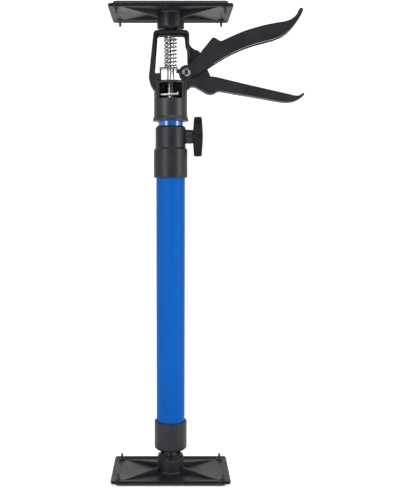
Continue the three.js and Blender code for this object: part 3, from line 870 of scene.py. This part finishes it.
def lever():
    """Two cheeks about the head's web, a bridge between them, a long blade with a thumb rest, and a toe
    under the drive plate. Behind the cheeks the blade is a channel between two walls."""
    channel_front, channel_back, margin = -3.9, 5.6, 0.2
    toe = [(5.8, 423.9, 0.4), (12, 423.9), (12, 426.3), (5.8, 426.3, 0.8)]
    between_cheeks = [(0, 400), (45.5, 400), (45.5, 470), (0, 470)]
    blade = moulded("squeeze_lever", [
        slab(lever_outline(), -GRIP_HALF, GRIP_HALF, 0.5),
        slab(rounded(toe), 0.1 - GRIP_HALF, GRIP_HALF - 0.1, 0.2),
    ], [
        slab(between_cheeks, -CHEEK_GAP_HALF, CHEEK_GAP_HALF),
        slab(channel_outline(), channel_front, channel_back),
    ], soften=3)
    finish_piece(blade, "trigger_lever", BLACK_HEAD, 50)
    # The faces inside the lever's channel are painted near black, as shade in that hollow.
    second_material(blade, BLACK_PAINTED_SHADE, lambda at, normal: (
        channel_front - margin < at[1] < channel_back + margin and 46 < at[0] < 129.4
        and (abs(normal.y) > 0.7 or normal.z < 0.2)))
    # The down-facing faces along the lever's front wall are painted pale, as a highlight on that edge.
    second_material(blade, PAINTED_HIGHLIGHT_EDGE, lambda at, normal: (
        at[1] < channel_front - margin and at[0] > 44 and normal.z < -0.55))
    bridge = slab(rounded([
        (31.5, 444.8), (46.2, 441.5), (46.2, 456.4), (43.6, 457.9), (41.4, 456.4)], 0.4), -5, 5, 0.3)
    piece("lever_bridge", "trigger_lever", bridge, BLACK_HEAD)


lever()

RIVET_LOOP = rounded([
    (2.2, -8.6), (2.6, -8.8), (3.7, -8.8, 0.5), (4.4, -8.1, 0.4), (4.3, -7.4, 0.2), (3.1, -7.4), (3.1, 7.4),
    (4.3, 7.4, 0.2), (4.4, 8.1, 0.4), (3.7, 8.8, 0.5), (2.6, 8.8), (2.2, 8.6)], 0.2)
piece("lever_rivet", "trigger_rivet", along_y(lathe(RIVET_LOOP, 48), PIVOT_X, PIVOT_Z), RIVET)


# ---------------------------------------------------------------- rod, drive plate, springs and lock plate
def hexagon(flats):
    """A hexagon with a corner towards the viewer."""
    return arc(0, 0, flats / 2 / math.cos(math.pi / 6), 90, 390, 5)


def rod_shape():
    """The rod, with the round pin on which the ball's stud turns."""
    bar = slab(rounded(hexagon(ROD_FLATS), 2.0, 8), 214, ROD_TOP, 0.4, place=upright)
    return merged(bar, lathe([(0, 459), (3.1, 459), (3.1, 467.0), (2.7, 467.4), (0, 467.4)], 32))


def on_corner(at, normal):
    """Whether a face of the rod is on one of its six rounded corners."""
    return abs(normal.z) < 0.3 and abs(math.sin(3 * math.atan2(normal.y, normal.x))) > 0.45


def underside(at, normal):
    """Whether a face of a spring's wire looks down."""
    return normal.z < -0.15


def drive_plate():
    """A plate round the rod, its longer end to the left."""
    outline = [(u - 2.1, v) for u, v in round_rect(9.5, GRIP_HALF, 0.8, 4)]
    return slab(outline, DRIVE_UNDER, DRIVE_TOP, 0.25, [rounded(hexagon(ROD_FLATS + 0.6), 0.2)], upright)


def lock_plate():
    """A plate with a bent-up end, tilted on the rod."""
    half = LOCK_THICK / 2
    outline = [(u - 1.2, v - 0.4) for u, v in round_rect(9.8, 7.0, 1.2, 5)]
    flat = slab(outline, -half, half, 0.25, [arc(0, 0, 4.6, 0, 351, 39)], upright)
    lug = slab(rounded([(5.6, 0.3), (8.2, 0.3), (8.2, 2.2, 0.4), (7.0, 2.2, 0.4)]), -6.6, 5.8, 0.2)
    tilt = Matrix.Rotation(math.radians(-2), 4, "Y")
    return moved(merged(flat, lug), Matrix.Translation((0, 0, LOCK_Z)) @ tilt)


rod = piece("lift_rod", "hex_rod", rod_shape(), DRAWN, 25)
# The rod's six corners are painted near black, as dark reflections.
second_material(rod, PAINTED_DARK_STEEL, on_corner)
jaw = piece("drive_jaw", "drive_plate", drive_plate(), SATIN)
# The drive plate's front-facing faces are painted in the rivet's darker steel, as shade on that edge.
second_material(jaw, RIVET, lambda at, normal: normal.y < -0.5)
spring = piece("drive_coil", "drive_spring", coil(6.2, 0.75, low=429.3, high=458.7, turns=8.8), WIRE)
# The wire's down-facing half is painted near black, as shade.
second_material(spring, PAINTED_DARK_STEEL, underside)
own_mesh(spring)
lock_coil = piece("lock_coil", "lock_spring", coil(4.9, 0.5, low=403.2, high=411.1, turns=4.4), WIRE)
# The wire's down-facing half is painted near black, as shade.
second_material(lock_coil, PAINTED_DARK_STEEL, underside)
piece("jam_plate", "lock_plate", lock_plate(), SATIN)

# These pieces are hidden in the pole: they keep their CAD shape, with rounded edges.
HIDDEN = {"clamp_nut": ZINC, "clamp_screw": DRAWN, "clamp_pressure_pad": BLACK, "inner_tube_guide": BLACK,
          "rod_stop": BLACK}
for node, material in HIDDEN.items():
    thing = frame["nodes"][node]
    thing.data.materials.clear()
    thing.data.materials.append(material)
    edge_round(thing, width=0.25)


# ---------------------------------------------------------------- stage, light and camera
def stage_material():
    """White, and bright enough of itself to leave no horizon."""
    material, tree, shader, place = new_material("pale_floor")
    drift = noise(tree, place, 1.5, 2)
    colour = blend_colour(tree, drift, (0.86, 0.86, 0.86), (0.88, 0.88, 0.88))
    tree.links.new(colour, shader.inputs["Base Color"])
    shader.inputs["Roughness"].default_value = 0.9
    shader.inputs["Specular IOR Level"].default_value = 0.1
    shader.inputs["Emission Color"].default_value = (1, 1, 1, 1)
    shader.inputs["Emission Strength"].default_value = 0.42
    return material


def cyclorama():
    """A floor that curves up into a backdrop behind the prop."""
    reach, bend_from, bend_r, floor_z = 6000, 2200, 900, -0.2
    profile = [(-reach, floor_z), (bend_from, floor_z)]
    for degrees in range(6, 91, 6):
        a = math.radians(degrees)
        profile.append((bend_from + bend_r * math.sin(a), floor_z + bend_r - bend_r * math.cos(a)))
    profile.append((bend_from + bend_r, 5000))
    points = [(x, y, z - LIFT) for y, z in profile for x in (-reach, reach)]
    faces = [(2 * i, 2 * i + 1, 2 * i + 3, 2 * i + 2) for i in range(len(profile) - 1)]
    floor = mesh_object("floor", (points, faces))
    floor.data.materials.append(stage_material())
    smooth(floor)


cyclorama()


def area_light(name, azimuth, distance, height, width, tall, power):
    """A soft light that looks at the middle of the pole. Azimuth 0 is the camera's side, +X is positive."""
    data = bpy.data.lights.new(name, "AREA")
    data.shape = "RECTANGLE"
    data.size = width
    data.size_y = tall
    data.energy = power
    lamp = bpy.data.objects.new(name, data)
    a = math.radians(azimuth)
    lamp.location = (distance * math.sin(a), -distance * math.cos(a), height)
    direction = Vector((0, 0, 0.25)) - lamp.location
    lamp.rotation_euler = direction.to_track_quat("-Z", "Y").to_euler()
    bpy.context.scene.collection.objects.link(lamp)


area_light("left_strip", azimuth=-39.6, distance=1.5, height=0.55, width=0.55, tall=1.6, power=17)
area_light("right_strip", azimuth=63.0, distance=1.5, height=0.55, width=0.55, tall=1.6, power=17)
area_light("top_soft", azimuth=10.0, distance=1.2, height=1.9, width=1.6, tall=1.6, power=16)


def toward(tree, direction, azimuth, low, high, wide, narrow):
    """Value low away from an azimuth, high within a narrow angle of it; both angles are in degrees."""
    a = math.radians(azimuth)
    near = tree.nodes.new("ShaderNodeVectorMath")
    near.operation = "DOT_PRODUCT"
    near.inputs[1].default_value = (math.sin(a), -math.cos(a), 0)
    tree.links.new(direction, near.inputs[0])
    from_low, from_high = math.cos(math.radians(wide)), math.cos(math.radians(narrow))
    return spread(tree, near.outputs["Value"], low, high, from_low, from_high)


def studio():
    """Soft white surroundings: a dark gap behind the camera and a brighter panel on each side of it."""
    world = bpy.data.worlds.new("studio")
    world.use_nodes = True
    tree = world.node_tree
    direction = tree.nodes.new("ShaderNodeTexCoord").outputs["Generated"]
    base, gap, panel = 0.5, 0.10, 0.28
    level = toward(tree, direction, 0, base, gap, 48, 24)
    for side in (-66, 84):
        level = arithmetic(tree, "ADD", level, toward(tree, direction, side, 0.0, panel, 28, 12))
    tree.nodes["Background"].inputs["Color"].default_value = (1, 1, 1, 1)
    tree.links.new(level, tree.nodes["Background"].inputs["Strength"])
    bpy.context.scene.world = world


studio()
bpy.context.scene.view_settings.view_transform = "Standard"

# The camera stands a little above the pole's middle and looks slightly down, as in the photo.
camera_data = bpy.data.cameras.new("camera")
camera_data.lens = 56.07
camera_data.sensor_width = 36.0
camera_data.shift_x = 0.0735
camera_data.clip_start = 0.01
camera = bpy.data.objects.new("camera", camera_data)
camera.location = (0.0, -0.797, 0.3016 + LIFT * MM)
camera.rotation_euler = (math.radians(86.0), 0, 0)
bpy.context.scene.collection.objects.link(camera)
bpy.context.scene.camera = camera
